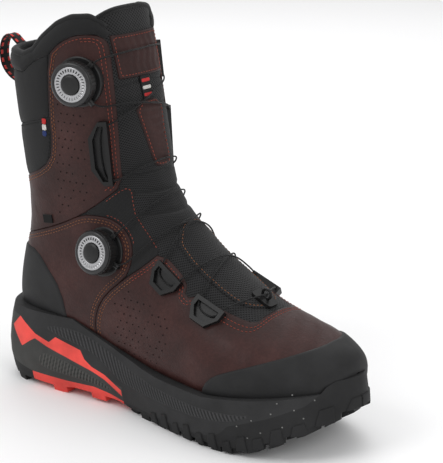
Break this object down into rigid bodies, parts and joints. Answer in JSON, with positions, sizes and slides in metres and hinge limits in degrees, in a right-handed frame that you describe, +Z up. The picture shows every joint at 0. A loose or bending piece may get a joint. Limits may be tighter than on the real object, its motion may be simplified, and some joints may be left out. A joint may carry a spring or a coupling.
{
  "type": "tall lace-up leather boot",
  "caption": "Tall brown leather outdoor boot for the right foot with rubber lug sole, rubber toe and heel caps, and turning dial lace closures.",
  "frame": {"origin": "on the ground, on a tread lug at the rear of the forefoot, on the boot's length line", "axes": "+X toward the toe, +Y toward the wearer's other foot, +Z up"},
  "size_m": [0.3245, 0.1135, 0.29],
  "materials": {
    "leather_brown": "satin full-grain leather",
    "leather_trim": "satin, softly embossed and pleated",
    "softshell_black": "matt knitted softshell",
    "mesh_black": "matt mesh",
    "rubber_black": "matt rubber",
    "rubber_lug": "matt rubber",
    "rubber_coral": "matt rubber",
    "foam_black": "matt moulded foam",
    "foam_coral": "satin moulded plastic",
    "plastic_black": "satin moulded nylon",
    "ring_silver": "satin anodised",
    "steel": "plain",
    "lace_black": "smooth coated cord",
    "webbing_black": "woven, coral edges",
    "lining_black": "brushed lining textile",
    "footbed_grey": "matt felt",
    "board_grey": "matt fibre board",
    "tag_white": "woven stripes"
  },
  "bodies": {
    "boot": {"ankle_guide_medial": "plastic_black", "collar_cuff": "softshell_black", "collar_guide_medial": "plastic_black", "footbed": "footbed_grey", "gusset_lateral": "softshell_black", "gusset_medial": "softshell_black", "heel_cap": "rubber_black", "heel_stiffener": "board_grey", "insole_board": "board_grey", "lining_foot": "lining_black", "lining_shaft": "lining_black", "lower_dial_base": "plastic_black", "lower_dial_pin": "steel", "lower_lace": "lace_black", "midsole_forefoot": "foam_black", "midsole_frame": "foam_black", "midsole_heel_wedge": "foam_black", "outsole_forefoot": "rubber_lug", "outsole_heel": "rubber_lug", "outsole_midfoot": "rubber_coral", "pull_loop_lower_end": "webbing_black", "pull_loop_upper_end": "webbing_black", "quarter_lateral": "leather_brown", "quarter_medial": "leather_brown", "rear_softshell_lower": "softshell_black", "rear_softshell_upper": "softshell_black", "shaft_guide_lateral": "plastic_black", "shaft_guide_medial": "plastic_black", "shaft_lateral": "leather_brown", "shaft_medial": "leather_brown", "shank": "steel", "side_tag": "tag_white", "stabiliser_lateral": "foam_coral", "stabiliser_medial": "foam_coral", "stripe_tag": "tag_white", "toe_cap": "rubber_black", "toe_puff": "board_grey", "tongue": "mesh_black", "tongue_flex_patch": "leather_trim", "tongue_lower_patch": "mesh_black", "tongue_ribbon": "tag_white", "tongue_top_patch": "leather_trim", "upper_dial_base": "plastic_black", "upper_dial_pin": "steel", "upper_lace": "lace_black", "vamp": "leather_brown", "vamp_front_guide_lateral": "plastic_black", "vamp_front_guide_medial": "plastic_black", "vamp_hook": "plastic_black", "vamp_rear_guide_lateral": "plastic_black", "vamp_rear_guide_medial": "plastic_black"},
    "upper_spool": {"upper_dial_spool": "plastic_black"},
    "upper_head": {"upper_dial_knob": "plastic_black", "upper_dial_ring": "ring_silver", "upper_dial_cap": "plastic_black"},
    "lower_spool": {"lower_dial_spool": "plastic_black"},
    "lower_head": {"lower_dial_knob": "plastic_black", "lower_dial_ring": "ring_silver", "lower_dial_cap": "plastic_black"},
    "pull_loop_body": {"pull_loop": "webbing_black"}
  },
  "joints": [
    {"name": "upper_dial_turn", "type": "hinge", "parent": "boot", "child": "upper_spool", "pos_m": [-0.047, -0.03934, 0.239], "axis": [0.2255, -0.9742, 0.0095], "continuous": true},
    {"name": "upper_dial_pop", "type": "slide", "parent": "upper_spool", "child": "upper_head", "axis": [0.2255, -0.9742, 0.0095], "range_m": [0, 0.003]},
    {"name": "lower_dial_turn", "type": "hinge", "parent": "boot", "child": "lower_spool", "pos_m": [-0.03, -0.03617, 0.117], "axis": [0.0167, -0.9875, 0.1569], "continuous": true},
    {"name": "lower_dial_pop", "type": "slide", "parent": "lower_spool", "child": "lower_head", "axis": [0.0167, -0.9875, 0.1569], "range_m": [0, 0.003]},
    {"name": "pull_loop_swing", "type": "hinge", "parent": "boot", "child": "pull_loop_body", "pos_m": [-0.133, 0, 0.236], "axis": [0, 0, 1], "range_deg": [-40, 40]}
  ]
}
